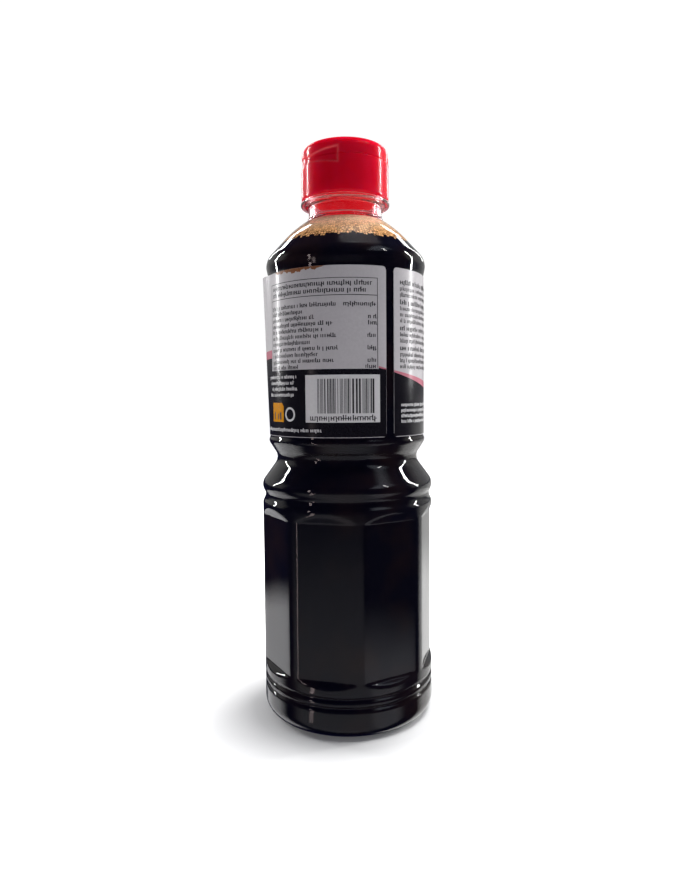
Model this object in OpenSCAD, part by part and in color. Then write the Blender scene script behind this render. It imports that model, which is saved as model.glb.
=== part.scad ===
// One-litre sauce bottle, filled and shut: a clear blow-moulded bottle with a
// panelled grip, a pinched waist, a wrap-around label and a flip-top cap.
// The origin is the middle of the base, +Z is up and the front faces -Y.
// Angles round the bottle are counted from the front, positive towards +X.

/* [Body] */
// Largest radius of the bottle
body_r = 40; // [36:0.5:48]
// Height of the grip, up to the middle of its top bead
grip_h = 98.9; // [84:0.1:130]
// Wall of the blown body
wall = 0.6; // [0.4:0.1:1]

/* [Foot] */
// Radius of the rounded edge of the foot
foot_round = 7; // [5:0.5:9]
// Width of the flat ring that the bottle stands on
foot_ring_w = 2; // [1:0.5:4]
// Radius of the edge between that ring and the dished base
base_round = 3; // [2:0.5:4]
// Height of the dished base over the ring
push_up = 6; // [3:0.5:9]

/* [Foot grooves] */
// Height of the lower groove
groove_low_z = 14.3; // [13:0.1:15]
// Distance from the lower groove to the upper one
groove_step = 4; // [3:0.1:6]
// Width of a groove
groove_w = 2.6; // [1.5:0.1:3]
// Depth of a groove
groove_d = 1.05; // [0.5:0.05:1.5]

/* [Grip panels] */
// Number of flat panels round the grip
panel_count = 8; // [6:1:10]
// Depth of a panel at its middle
panel_d = 2.2; // [1:0.1:3]
// Angle of the first panel's middle
panel_turn = -15; // [-45:1:45]
// Height of the panels' lower end
panel_low_z = 25; // [24:0.5:34]
// Length of the slanted facet at a panel's lower end
panel_low_slope = 2; // [1:0.5:4]
// Distance from the panels' upper end to the middle of the top bead
panel_top_gap = 4.9; // [4:0.1:12]
// Length of the slanted facet at a panel's upper end
panel_top_slope = 3.6; // [1:0.1:4]

/* [Collar and waist] */
// Rounding of the grip's top bead
bead_round = 2.6; // [1.5:0.1:3]
// Distance from that bead to the groove over it
collar_groove_gap = 4.5; // [4:0.1:8]
// Depth of that groove
collar_groove_d = 1.3; // [0.8:0.1:2]
// Distance from the groove to the collar over it
collar_gap = 3.9; // [3.5:0.1:7]
// Rounding of the collar
collar_round = 5; // [3:0.5:6]
// Slope of the collar's top, from upright
collar_slope = 36; // [25:1:45]
// Distance from the collar to the waist
waist_gap = 13.1; // [12:0.1:20]
// Radius of the waist
waist_r = 33; // [28:0.5:34]
// Hollow of the waist's lower side
waist_low_round = 6; // [4:0.5:8]
// Hollow of the waist's upper side
waist_top_round = 4.2; // [3:0.1:6]
// Slope of the waist's upper side, from upright
waist_slope = 42; // [30:1:50]
// Distance from the waist to the label bumper
bumper_gap = 7.7; // [7:0.1:12]
// How far the bumper stands out over the label wall
bumper_proud = 0.55; // [0.3:0.05:1.5]
// Rounding of the bumper
bumper_round = 2.2; // [1.5:0.1:3]

/* [Label] */
// Radius of the wall under the label
label_wall_r = 36.15; // [35:0.05:38]
// Distance from the bumper to the label's lower edge
label_gap = 2.4; // [2:0.1:6]
// Height of the label
label_h = 72.2; // [50:0.1:90]
// Thickness of the label
label_t = 0.15; // [0.1:0.05:0.4]
// Clearance between the label and the wall
label_fit = 0.05; // [0.05:0.05:0.2]
// Angle of the middle of the gap between the label's ends
label_gap_turn = 31; // [-60:1:60]
// Width of that gap, as an angle
label_gap_turn_w = 6.2; // [3:0.1:20]
// Radius of the label's corners
label_corner = 1.7; // [0.5:0.1:4]
// How far the loose strip of the label stands off at its top
lift_d = 2.3; // [0:0.1:3]
// Angle of the loose strip's middle
lift_turn = -84; // [-120:1:-60]
// Half of the loose strip's width, as an angle
lift_half_w = 19; // [8:1:30]

/* [Shoulder] */
// Distance from the label's upper edge to the shoulder bead
shoulder_gap = 4.7; // [4.5:0.1:10]
// Radius of the shoulder bead
shoulder_r = 37; // [36.5:0.1:39]
// Rounding of the shoulder bead
shoulder_round = 7.8; // [5:0.1:9]
// Slope of the shoulder over the bead, from upright
shoulder_slope = 39; // [30:1:50]
// Height of the shoulder, from its bead to the neck
shoulder_h = 21.4; // [18:0.1:32]
// Radius of the dome under the neck
dome_r = 54; // [40:1:80]
// Slope of the dome at the neck, from upright
dome_slope = 58; // [50:1:65]

/* [Neck] */
// Radius of the neck
neck_r = 17; // [15:0.1:18]
// Wall of the neck
neck_wall = 1.6; // [1:0.1:2.5]
// Height of the small step at the neck's root
step_h = 1.5; // [1:0.1:2]
// How far that step stands out
step_proud = 0.6; // [0.3:0.1:1]
// Distance from the neck's root to the ledge
ledge_gap = 7.1; // [5:0.1:10]
// Thickness of the ledge
ledge_t = 1.4; // [1:0.1:3]
// How far the ledge stands out over the cap
ledge_over = 0.4; // [0.2:0.1:2]
// How far the fillet ring under the ledge stands out over the neck
under_ledge_step = 1.5; // [0.5:0.1:2]
// Thickness of the fillet ring
under_ledge_t = 0.6; // [0.4:0.1:1]
// Height of the neck from the ledge to its rim
finish_h = 14.4; // [10:0.1:20]
// How far the neck inside the cap stands out over the neck below it
finish_step = 0.3; // [0:0.1:1]

/* [Cap] */
// Wall of the cap's base
cap_wall = 2.75; // [1.8:0.05:4]
// Clearance between the cap's bore and the neck
cap_fit = 0.15; // [0.1:0.05:0.3]
// Gap between the ledge and the cap's lower edge
cap_ledge_gap = 0.3; // [0.2:0.1:1]
// Rounding of the cap's lower edge
cap_edge = 0.6; // [0.3:0.1:1]
// Height of the cap's base, from its lower edge to the parting line
cap_base_h = 16.4; // [14:0.1:24]
// Height of the lid over the parting line
lid_h = 7.8; // [6:0.1:12]
// How far the lid is set in from the base
lid_step = 0.3; // [0.1:0.1:0.6]
// Rounding of the lid's top edge
lid_round = 3; // [1:0.5:4]
// Height of the parting line
part_line_h = 0.4; // [0.2:0.1:0.8]
// Depth of the parting line
part_line_d = 0.4; // [0.2:0.1:0.8]
// Angle of the hinge's middle
hinge_turn = -53; // [-180:1:180]
// Half of the hinge's width
hinge_half_w = 14; // [8:0.5:15]
// Height of the hinge at its two ends
hinge_end_h = 6.7; // [4:0.1:9]
// Height of the hinge at its middle
hinge_mid_h = 2.6; // [1:0.1:4]
// Depth of the hinge's pocket
hinge_d = 0.7; // [0.3:0.1:1.2]
// Height of the thumb guard opposite the hinge
guard_h = 3.2; // [2:0.1:5]
// Width of the thumb guard, as an angle
guard_turn_w = 96; // [60:1:140]
// How far the thumb guard is set in from the base
guard_in = 0.1; // [0.05:0.05:0.15]
// How deep the thumb guard is rooted in the base and the lid
guard_root = 1; // [0.6:0.1:2]

/* [Contents] */
// Height of the sauce under the neck's root
sauce_drop = 11.8; // [6:0.1:40]
// Height of the froth's top under the neck's root
froth_drop = 1.2; // [1:0.1:4]
// Clearance between the contents and the wall
fill_fit = 0.05; // [0.05:0.05:0.2]

/* [Hidden] */
$fn = 96;
step_deg = 6;          // degrees between two points of a rounded outline
groove_steps = 10;     // pieces across a foot groove
cut_over = 2;          // how far a cutter passes the surface that it cuts
groove_top_z = groove_low_z + groove_step;
panel_top_z = grip_h - panel_top_gap;
collar_groove_z = grip_h + collar_groove_gap;
collar_z = collar_groove_z + collar_gap;
waist_z = collar_z + waist_gap;
bumper_z = waist_z + bumper_gap;
label_low_z = bumper_z + label_gap;
label_top_z = label_low_z + label_h;
shoulder_z = label_top_z + shoulder_gap;
root_z = shoulder_z + shoulder_h;
ledge_z = root_z + ledge_gap;
ledge_top_z = ledge_z + ledge_t;
rim_z = ledge_top_z + finish_h;
cap_z = ledge_top_z + cap_ledge_gap;
part_z = cap_z + cap_base_h;
lid_top_z = part_z + lid_h;
neck_bore_r = neck_r - neck_wall;
finish_r = neck_r + finish_step;
cap_r = finish_r + cap_fit + cap_wall;
lid_r = cap_r - lid_step;
ledge_r = cap_r + ledge_over;
under_ledge_r = neck_r + under_ledge_step;
sauce_z = root_z - sauce_drop;
froth_z = root_z - froth_drop;
flat_in_r = body_r - foot_round - foot_ring_w;
dish_r = (pow(flat_in_r, 2) + pow(base_round - push_up, 2) - pow(base_round, 2)) / (2 * push_up);
dish_z = push_up - dish_r;
dish_turn = atan2(flat_in_r, base_round - dish_z);
label_in_r = label_wall_r + label_fit;
label_first = label_gap_turn + label_gap_turn_w / 2;
label_span = 360 - label_gap_turn_w;

// Points of an arc in the plane of radius and height, from angle a0 to a1.
function arc(r, z, round, a0, a1) =
    let (n = max(2, ceil(abs(a1 - a0) / step_deg)))
    [for (i = [0:n]) let (a = a0 + (a1 - a0) * i / n) [r + round * cos(a), z + round * sin(a)]];

// A soft-edged groove: one wave of a cosine, cut into a wall of radius r.
function groove(r, z) =
    [for (i = [0:groove_steps]) let (t = 2 * i / groove_steps - 1)
        [r - groove_d * (1 + cos(180 * t)) / 2, z + t * groove_w / 2]];

// Dished base and rounded foot, moved inwards by w.
function foot_line(w) = concat(
    arc(0, dish_z, dish_r + w, 90, 90 - dish_turn),
    arc(flat_in_r, base_round, base_round - w, -90 - dish_turn, -90),
    arc(body_r - foot_round, foot_round, foot_round - w, -90, 0));

// Grip, collar and waist, moved inwards by w.
function grip_line(w) = concat(
    groove(body_r - w, groove_low_z),
    groove(body_r - w, groove_top_z),
    arc(body_r - bead_round, grip_h, bead_round - w, 0, 45),
    [[body_r - collar_groove_d - w, collar_groove_z - 0.6],
     [body_r - collar_groove_d - w, collar_groove_z + 0.3]],
    arc(body_r - collar_round, collar_z, collar_round - w, -35, collar_slope),
    arc(waist_r + waist_low_round, waist_z, waist_low_round + w, 180 + collar_slope, 180),
    arc(waist_r + waist_top_round, waist_z, waist_top_round + w, 180, 180 - waist_slope),
    arc(label_wall_r + bumper_proud - bumper_round, bumper_z, bumper_round - w, -waist_slope, 40));

// Label wall and shoulder up to the neck, moved inwards by w.
function shoulder_line(w) = concat(
    [[label_wall_r - w, label_low_z - 0.3],
     [label_wall_r - w, label_top_z + 0.5]],
    arc(shoulder_r - shoulder_round, shoulder_z, shoulder_round - w, 0, shoulder_slope),
    arc(neck_r + step_proud - dome_r * cos(dome_slope), root_z - dome_r * sin(dome_slope),
        dome_r - w, shoulder_slope + 1, dome_slope));

// Neck with its step, ledge and rim.
neck_line = [
    [neck_r + step_proud, root_z + step_h * 0.3],
    [neck_r + step_proud, root_z + step_h * 0.7],
    [neck_r, root_z + step_h],
    [neck_r, ledge_z - under_ledge_t * 2],
    [under_ledge_r, ledge_z - under_ledge_t],
    [under_ledge_r, ledge_z],
    [ledge_r - 0.3, ledge_z],
    [ledge_r, ledge_z + 0.3],
    [ledge_r, ledge_top_z - 0.3],
    [ledge_r - 0.3, ledge_top_z],
    [finish_r, ledge_top_z],
    [finish_r, rim_z]];

// Body turned from an outline, with the flat panels of the grip cut away.
module panelled(line, w) {
    flat = body_r - panel_d - w;
    over = panel_d + cut_over;
    difference() {
        rotate_extrude() polygon(line);
        for (i = [0:panel_count - 1])
            rotate([0, 0, panel_turn - 90 + i * 360 / panel_count])
                rotate([90, 0, 0])
                    linear_extrude(2 * flat * tan(180 / panel_count), center = true)
                        polygon([
                            [flat, panel_low_z], [flat, panel_top_z],
                            [flat + over, panel_top_z + over * panel_top_slope / panel_d],
                            [flat + over, panel_low_z - over * panel_low_slope / panel_d]]);
    }
}

// Everything inside the wall, w in from the outside, up to the height top.
module inside(w, top) {
    intersection() {
        panelled(concat(foot_line(w), grip_line(w), shoulder_line(w),
            [[neck_bore_r, root_z], [neck_bore_r, rim_z + cut_over], [0, rim_z + cut_over]]), w);
        cylinder(r = body_r, h = top);
    }
}

module bottle() {
    color([0.86, 0.88, 0.88, 0.35])
        difference() {
            panelled(concat(foot_line(0), grip_line(0), shoulder_line(0), neck_line, [[0, rim_z]]), 0);
            inside(wall, rim_z + cut_over);
        }
}

module sauce() {
    color([0.02, 0.015, 0.02]) inside(wall + fill_fit, sauce_z);
}

module froth() {
    color([0.72, 0.47, 0.25])
        difference() {
            inside(wall + fill_fit, froth_z);
            cylinder(r = body_r, h = sauce_z);
        }
}

// How far the label stands off the wall at an angle, and at a height share h:
// a smooth hump on the loose strip, full at the top and flat at the foot.
function lift(a, h) =
    let (t = abs(a - lift_turn - 360 * round((a - lift_turn) / 360)) / lift_half_w)
    t < 1 ? lift_d * h * (1 + cos(180 * t)) / 2 : 0;

// The label is a sheet bent round the wall: columns run round it from one end
// to the other, closer together in the rounded corners, with rows up each one.
corner_turn = asin(label_corner / label_in_r);
corner_steps = 5;
round_steps = 110;
label_rows = 3;
columns = concat(
    [for (i = [0:corner_steps - 1]) corner_turn * (1 - cos(90 * i / corner_steps))],
    [for (i = [0:round_steps]) corner_turn + (label_span - 2 * corner_turn) * i / round_steps],
    [for (i = [corner_steps - 1:-1:0]) label_span - corner_turn * (1 - cos(90 * i / corner_steps))]);

// How much the rounded corners take off the label's height at a column.
function corner_cut(a) =
    let (s = min(a, label_span - a) / corner_turn)
    s < 1 ? label_corner * (1 - sqrt(1 - pow(1 - s, 2))) : 0;

function label_point(a, row, t) =
    let (cut = min(corner_cut(a), label_corner * 0.98),
         z = label_low_z + cut + (label_h - 2 * cut) * row / label_rows,
         turn = label_first + a,
         r = label_in_r + t + lift(turn, (z - label_low_z) / label_h))
    [r * sin(turn), -r * cos(turn), z];

module label() {
    n = len(columns);
    m = label_rows + 1;
    points = [for (t = [0, label_t]) for (a = columns) for (row = [0:label_rows]) label_point(a, row, t)];
    function at(side, i, j) = (side * n + i) * m + j;
    faces = concat(
        [for (i = [0:n - 2]) for (j = [0:m - 2]) [at(1, i, j), at(1, i, j + 1), at(1, i + 1, j + 1), at(1, i + 1, j)]],
        [for (i = [0:n - 2]) for (j = [0:m - 2]) [at(0, i, j), at(0, i + 1, j), at(0, i + 1, j + 1), at(0, i, j + 1)]],
        [for (i = [0:n - 2]) [at(0, i, 0), at(1, i, 0), at(1, i + 1, 0), at(0, i + 1, 0)]],
        [for (i = [0:n - 2]) [at(0, i, m - 1), at(0, i + 1, m - 1), at(1, i + 1, m - 1), at(1, i, m - 1)]],
        [for (j = [0:m - 2]) [at(0, 0, j), at(0, 0, j + 1), at(1, 0, j + 1), at(1, 0, j)]],
        [for (j = [0:m - 2]) [at(0, n - 1, j), at(1, n - 1, j), at(1, n - 1, j + 1), at(0, n - 1, j + 1)]]);
    color([0.62, 0.61, 0.64]) polyhedron(points, faces, convexity = 4);
}

// A cap turned in one piece: base, parting line and lid, bored for the neck.
module cap_blank() {
    rotate_extrude()
        polygon(concat(
            [[finish_r + cap_fit, cap_z]],
            arc(cap_r - cap_edge, cap_z + cap_edge, cap_edge, -90, 0),
            [[cap_r, part_z], [cap_r - part_line_d, part_z],
             [cap_r - part_line_d, part_z + part_line_h], [lid_r, part_z + part_line_h]],
            arc(lid_r - lid_round, lid_top_z - lid_round, lid_round, 0, 90),
            [[0, lid_top_z], [0, rim_z], [finish_r + cap_fit, rim_z]]));
}

// The base's thumb guard rises over the parting line opposite the hinge.
module thumb_guard() {
    rotate([0, 0, hinge_turn + 90 - guard_turn_w / 2])
        rotate_extrude(angle = guard_turn_w)
            translate([lid_r - guard_root, part_z - guard_root])
                square([lid_step + guard_root - guard_in, guard_h + guard_root]);
}

// Pocket of the butterfly hinge: a bow-tie outline pressed into the side.
module hinge_pocket() {
    intersection() {
        rotate([0, 0, hinge_turn - 90])
            translate([0, 0, part_z])
                rotate([90, 0, 90])
                    linear_extrude(cap_r + cut_over)
                        polygon([
                            [-hinge_half_w, -hinge_end_h / 2], [0, -hinge_mid_h / 2],
                            [hinge_half_w, -hinge_end_h / 2], [hinge_half_w, hinge_end_h / 2],
                            [0, hinge_mid_h / 2], [-hinge_half_w, hinge_end_h / 2]]);
        difference() {
            cylinder(r = cap_r + cut_over, h = lid_top_z);
            translate([0, 0, -cut_over])
                cylinder(r = cap_r - hinge_d, h = lid_top_z + 2 * cut_over);
        }
    }
}

module cap() {
    color([0.78, 0.02, 0.08])
        difference() {
            union() {
                cap_blank();
                thumb_guard();
            }
            hinge_pocket();
        }
}

bottle();
sauce();
froth();
label();
cap();
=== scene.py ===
"""Looks of a sauce bottle: clear blown wall, dark sauce, froth, printed wrap-around label, red cap.

Sizes are in millimetres and angles in degrees, counted round the bottle from its front (-Y) and positive
towards +X. Heights that the solid model fixes are read from its boxes. Meshes are in metres, in the model's
own frame.
"""

import logging
import math
from collections.abc import Callable
from dataclasses import dataclass, field
from enum import Enum
from functools import reduce

import bpy
import numpy as np
from mathutils import Matrix, Vector


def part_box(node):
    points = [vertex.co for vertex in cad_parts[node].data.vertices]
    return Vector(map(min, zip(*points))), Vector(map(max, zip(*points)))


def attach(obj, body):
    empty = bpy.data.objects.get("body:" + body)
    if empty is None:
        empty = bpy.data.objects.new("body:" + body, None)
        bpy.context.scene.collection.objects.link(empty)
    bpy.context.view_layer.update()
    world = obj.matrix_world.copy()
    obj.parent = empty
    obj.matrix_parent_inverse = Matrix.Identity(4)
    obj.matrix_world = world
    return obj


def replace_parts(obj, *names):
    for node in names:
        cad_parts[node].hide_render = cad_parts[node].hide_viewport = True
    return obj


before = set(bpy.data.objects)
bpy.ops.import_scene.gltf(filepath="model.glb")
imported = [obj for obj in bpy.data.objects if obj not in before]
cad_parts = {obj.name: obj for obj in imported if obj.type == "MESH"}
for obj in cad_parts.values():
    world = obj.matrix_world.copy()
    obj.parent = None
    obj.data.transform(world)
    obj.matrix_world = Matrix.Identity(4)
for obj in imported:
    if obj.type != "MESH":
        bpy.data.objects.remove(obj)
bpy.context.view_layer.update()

Array = np.ndarray
Edge = Callable[[Array], Array]
Color = tuple[float, float, float]
Material = bpy.types.Material
Node = bpy.types.Node
Piece = bpy.types.Object
Socket = bpy.types.NodeSocket

MM = 0.001
POLE_R = 0.8
BODY = "root"
log = logging.getLogger("bottle")


class Slot(Enum):
    """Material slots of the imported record."""

    WALL = "clear_wall"
    SAUCE = "sauce"
    FROTH = "froth"
    LABEL = "label_film"
    CAP = "cap_red"


# ---------------------------------------------------------------- lines and grids


def arc(r: float, z: float, radius: float, first: float, last: float) -> Array:
    """Points of an arc in the plane of radius and height.

    Args:
        r, z: the arc's centre.
        radius: its radius.
        first, last: its end angles, from the outward direction upwards.
    Returns:
        An (n, 2) array, a point every two degrees or closer.
    """
    turn = np.radians(np.linspace(first, last, max(2, math.ceil(abs(last - first) / 2)) + 1))
    return np.column_stack([r + radius * np.cos(turn), z + radius * np.sin(turn)])


def lengths(line: Array) -> Array:
    """Distance along a line of points, from its first point to each."""
    return np.concatenate([[0.0], np.cumsum(np.hypot(*np.diff(line, axis=0).T))])


def even(line: Array, gap: float) -> Array:
    """The same line with its points an equal gap apart.

    Args:
        line: the points, (n, 2).
        gap: the wanted distance between two points.
    Returns:
        The new points; their gap is the nearest that divides the line's length.
    """
    along = lengths(line)
    at = np.linspace(0, along[-1], max(2, round(along[-1] / gap)) + 1)
    return np.column_stack([np.interp(at, along, line[:, k]) for k in (0, 1)])


def soften(line: Array, blur: float, gap: float = 0.1) -> Array:
    """Rounds a line's corners: each point is the bell-weighted mean of its neighbours along the line.

    Args:
        line: the points, (n, 2).
        blur: the bell's spread, as a length along the line.
        gap: the distance between two points of the result.
    Returns:
        The rounded line, with its two ends kept.
    """
    points = even(line, gap)
    reach = math.ceil(3 * blur / gap)
    bell = np.exp(-0.5 * (np.arange(-reach, reach + 1) * gap / blur) ** 2)
    head = 2 * points[0] - points[reach:0:-1]
    tail = 2 * points[-1] - points[-2 : -reach - 2 : -1]
    padded = np.concatenate([head, points, tail])
    return np.column_stack([np.convolve(padded[:, k], bell / bell.sum(), "valid") for k in (0, 1)])


def spread(line: Array, gaps: Array) -> Array:
    """Points along a line at distances that follow the gap wanted at each place.

    Args:
        line: the points, (n, 2).
        gaps: the wanted distance at each of them.
    Returns:
        New points at equal steps of the sum of length over gap.
    """
    step = np.hypot(*np.diff(line, axis=0).T)
    load = np.concatenate([[0.0], np.cumsum(2 * step / (gaps[1:] + gaps[:-1]))])
    at = np.linspace(0, load[-1], round(load[-1]) + 1)
    return np.column_stack([np.interp(at, load, line[:, k]) for k in (0, 1)])


def inset(line: Array, depth: float) -> Array:
    """The line moved sideways by depth, towards the bottle's inside, along its own normals.

    Args:
        line: the points, (n, 2), that climb the outside.
        depth: how far each one moves.
    Returns:
        The moved points.
    """
    d_r, d_z = np.gradient(line[:, 0]), np.gradient(line[:, 1])
    size = np.maximum(np.hypot(d_r, d_z), 1e-9)
    return line + depth * np.column_stack([-d_z / size, d_r / size])


def smooth_step(low: float, high: float, x: Array) -> Array:
    """0 below low, 1 above high, and an even S between them."""
    t = np.clip((x - low) / (high - low), 0, 1)
    return t * t * (3 - 2 * t)


def soft_least(a: Array, b: Array, width: float) -> Array:
    """The lesser of a and b with a round corner: half of (sum less root of difference and width squared)."""
    return 0.5 * (a + b - np.sqrt((a - b) ** 2 + width**2))


def off_turn(theta: Array, middle: float) -> Array:
    """How far an angle lies from a middle one, from -180 to 180."""
    return (theta - middle + 180) % 360 - 180


def even_turns(columns: int) -> Array:
    """Angles of that many columns, evenly round the bottle from its front."""
    return np.arange(columns) * 360 / columns


def around(theta: Array, r: Array, z: Array) -> Array:
    """Metre points of the bottle's round form.

    Args:
        theta: angles round the bottle.
        r, z: radii and heights in millimetres, of shapes that fit the angles'.
    Returns:
        Points, three numbers to each.
    """
    turn, r, z = np.broadcast_arrays(np.radians(theta), r, z)
    return np.stack([r * np.sin(turn), -r * np.cos(turn), z], -1) * MM


def ring_faces(rows: int, cols: int) -> Array:
    """Quads of a grid that closes round its columns.

    Args:
        rows, cols: the grid's points up and round.
    Returns:
        (n, 4) indices, outwards when the rows climb the outside.
    """
    i, j = np.arange(rows - 1)[:, None], np.arange(cols)[None, :]
    k = (j + 1) % cols
    quads = [i * cols + j, i * cols + k, (i + 1) * cols + k, (i + 1) * cols + j]
    return np.stack(quads, -1).reshape(-1, 4)


@dataclass
class Mesh:
    """Points, faces and per-point values of a mesh that is being put together."""

    points: Array
    faces: list[Array]
    values: dict[str, Array] = field(default_factory=dict)

    def to_object(self, name: str, material: Material, slot: Slot, sharp: float = 50.0) -> Piece:
        """Makes the piece, dresses it and ties it to the bottle.

        Args:
            name: the piece's name.
            material: its finish.
            slot: the record's slot for the finish; not used.
            sharp: edges that turn by more than this stay sharp.
        Returns:
            The new object.
        """
        mesh = bpy.data.meshes.new(name)
        loops = np.concatenate([f.ravel() for f in self.faces]).astype(np.int32)
        sizes = np.concatenate([np.full(len(f), f.shape[1]) for f in self.faces])
        starts = np.concatenate([[0], np.cumsum(sizes)[:-1]]).astype(np.int32)
        mesh.vertices.add(len(self.points))
        mesh.vertices.foreach_set("co", self.points.astype(np.float32).ravel())
        mesh.loops.add(len(loops))
        mesh.loops.foreach_set("vertex_index", loops)
        mesh.polygons.add(len(sizes))
        mesh.polygons.foreach_set("loop_start", starts)
        mesh.update(calc_edges=True)
        for key, value in self.values.items():
            layer = mesh.attributes.new(key, "FLOAT", "POINT")
            layer.data.foreach_set("value", value.astype(np.float32).ravel())
        mesh.polygons.foreach_set("use_smooth", np.ones(len(sizes), bool))
        mesh.set_sharp_from_angle(angle=math.radians(sharp))
        mesh.materials.append(material)
        piece = bpy.data.objects.new(name, mesh)
        bpy.context.scene.collection.objects.link(piece)
        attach(piece, BODY)
        log.info("%s: %d points, %d faces", name, len(self.points), len(sizes))
        return piece


def turned(points: Array, low_z: float, high_z: float, values: dict[str, Array] | None = None) -> Mesh:
    """A closed shell round the axis: a ring grid between two poles on the axis.

    Args:
        points: (rows, cols, 3), its rows running from the first pole, up the outside, to the last pole.
        low_z, high_z: heights of the first and the last pole in millimetres.
        values: per-point values, each (rows, cols); a pole takes the mean of the row beside it.
    Returns:
        The closed mesh.
    """
    rows, cols = points.shape[:2]
    low, high, top = rows * cols, rows * cols + 1, (rows - 1) * cols
    j = np.arange(cols)
    k = (j + 1) % cols
    fans = [
        np.column_stack([np.full(cols, low), k, j]),
        np.column_stack([top + j, top + k, np.full(cols, high)]),
    ]
    poles = [(0, 0, low_z * MM), (0, 0, high_z * MM)]
    closed = {n: np.concatenate([v.ravel(), [v[0].mean(), v[-1].mean()]]) for n, v in (values or {}).items()}
    return Mesh(np.concatenate([points.reshape(-1, 3), poles]), [ring_faces(rows, cols), *fans], closed)


def slab(over: Array, under: Array) -> Mesh:
    """A thin closed slab: a front grid, a back grid and the four edges between them.

    Args:
        over: (n, m, 3) points of the front, n across and m up.
        under: the same for the back.
    Returns:
        The closed mesh, its front facing outwards.
    """
    n, m = over.shape[:2]
    i, j = np.arange(n - 1)[:, None], np.arange(m - 1)[None, :]
    quads = [i * m + j, (i + 1) * m + j, (i + 1) * m + j + 1, i * m + j + 1]
    front = np.stack(quads, -1).reshape(-1, 4)
    foot, right = np.arange(n) * m, (n - 1) * m + np.arange(1, m)
    top, left = np.arange(n - 2, -1, -1) * m + m - 1, np.arange(m - 2, 0, -1)
    border = np.concatenate([foot, right, top, left])
    after = np.roll(border, -1)
    rim = np.column_stack([border, border + n * m, after + n * m, after])
    points = np.concatenate([over.reshape(-1, 3), under.reshape(-1, 3)])
    return Mesh(points, [front, front[:, ::-1] + n * m, rim])


# ---------------------------------------------------------------- finishes


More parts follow.
